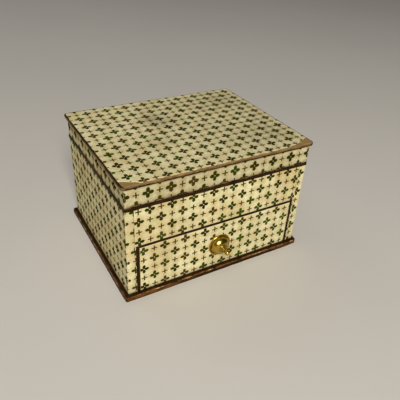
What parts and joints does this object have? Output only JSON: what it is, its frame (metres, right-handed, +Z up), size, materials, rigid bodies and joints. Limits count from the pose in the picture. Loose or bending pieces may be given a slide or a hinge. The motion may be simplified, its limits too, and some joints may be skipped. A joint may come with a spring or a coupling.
{
  "type": "perfume box",
  "caption": "Antique paper-covered perfume box on a projecting base, with a cloth-hinged lid over a compartment of bottle cells and a drawer with a domed brass knob.",
  "frame": {"origin": "middle of the underside of the base", "axes": "+X to the right along the front, +Y to the back (the front and its drawer face -Y), +Z up"},
  "size_m": [0.1774, 0.1553, 0.1094],
  "materials": {
    "printed_paper": "matte",
    "brown_paper": "satin",
    "pasteboard": "matte",
    "lining_paper": "matte",
    "hinge_cloth": "matte",
    "brass": "satin"
  },
  "bodies": {
    "case": {"back_liner": "lining_paper", "back_paper": "printed_paper", "back_wall": "pasteboard", "base_board": "pasteboard", "base_cover": "brown_paper", "cross_divider_1": "lining_paper", "cross_divider_2": "lining_paper", "cross_divider_3": "lining_paper", "front_frame": "pasteboard", "front_liner": "lining_paper", "front_paper": "printed_paper", "hinge_cloth": "hinge_cloth", "left_guide": "pasteboard", "left_liner": "lining_paper", "left_side_paper": "printed_paper", "left_wall": "pasteboard", "long_divider_1": "lining_paper", "long_divider_2": "lining_paper", "opening_tape": "brown_paper", "right_guide": "pasteboard", "right_liner": "lining_paper", "right_side_paper": "printed_paper", "right_wall": "pasteboard", "rim_tape": "brown_paper", "shelf_board": "pasteboard", "shelf_lining": "lining_paper", "underside_paper": "lining_paper"},
    "lid": {"lid_back_paper": "printed_paper", "lid_back_rim": "pasteboard", "lid_board": "pasteboard", "lid_edge_tape": "brown_paper", "lid_front_paper": "printed_paper", "lid_front_rim": "pasteboard", "lid_left_paper": "printed_paper", "lid_left_rim": "pasteboard", "lid_lining": "lining_paper", "lid_right_paper": "printed_paper", "lid_right_rim": "pasteboard", "lid_top_paper": "printed_paper"},
    "drawer": {"drawer_back": "pasteboard", "drawer_floor": "pasteboard", "drawer_front": "pasteboard", "drawer_front_paper": "printed_paper", "drawer_knob": "brass", "drawer_left_side": "pasteboard", "drawer_lining": "lining_paper", "drawer_right_side": "pasteboard", "knob_nut": "brass", "knob_rosette": "brass", "knob_washer": "brass"}
  },
  "joints": [
    {"name": "lid_hinge", "type": "hinge", "parent": "case", "child": "lid", "pos_m": [0, 0.0683, 0.08965], "axis": [-1, 0, 0], "range_deg": [0, 170], "deforming": ["hinge_cloth"]},
    {"name": "drawer_slide", "type": "slide", "parent": "case", "child": "drawer", "axis": [0, -1, 0], "range_m": [0, 0.1]}
  ]
}
